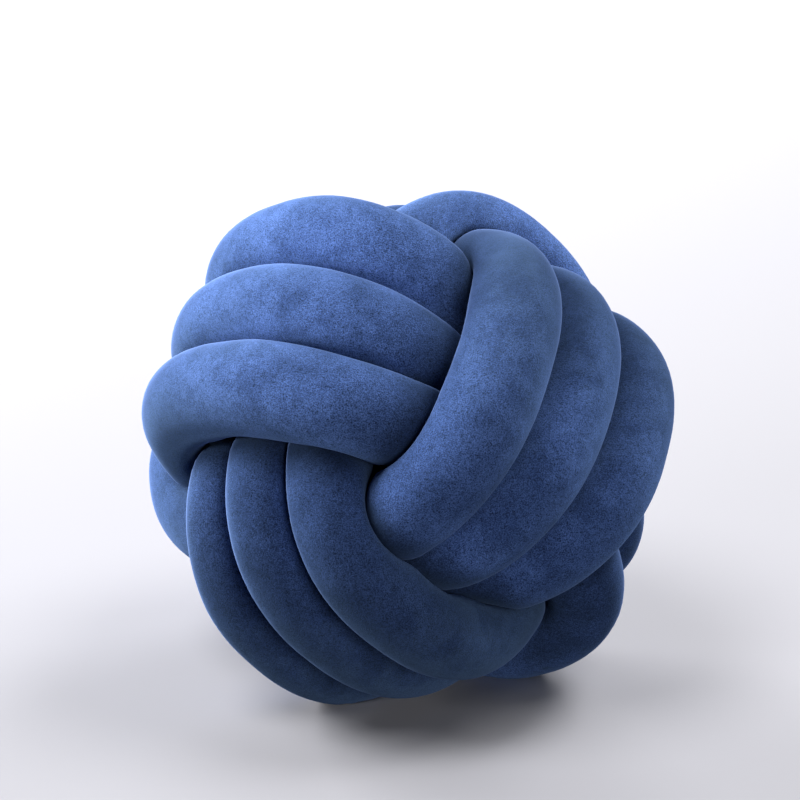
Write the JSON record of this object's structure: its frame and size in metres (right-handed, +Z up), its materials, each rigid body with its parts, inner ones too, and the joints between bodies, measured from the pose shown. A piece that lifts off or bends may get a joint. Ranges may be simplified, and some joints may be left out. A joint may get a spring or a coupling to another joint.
{
  "type": "knot cushion",
  "caption": "Ball-shaped cushion tied from a long stuffed velvet tube, its side-by-side turns interlaced in crossing bands.",
  "frame": {"origin": "on the floor, under the centre of the ball's box", "axes": "+Z up; +Y away from the side that the picture shows; +X to that side's right"},
  "size_m": [0.2728, 0.2724, 0.2635],
  "materials": {
    "velvet": "soft short pile, matt with a pale sheen at grazing angles"
  },
  "bodies": {
    "root": {"knotted_tube": "velvet"}
  },
  "joints": []
}
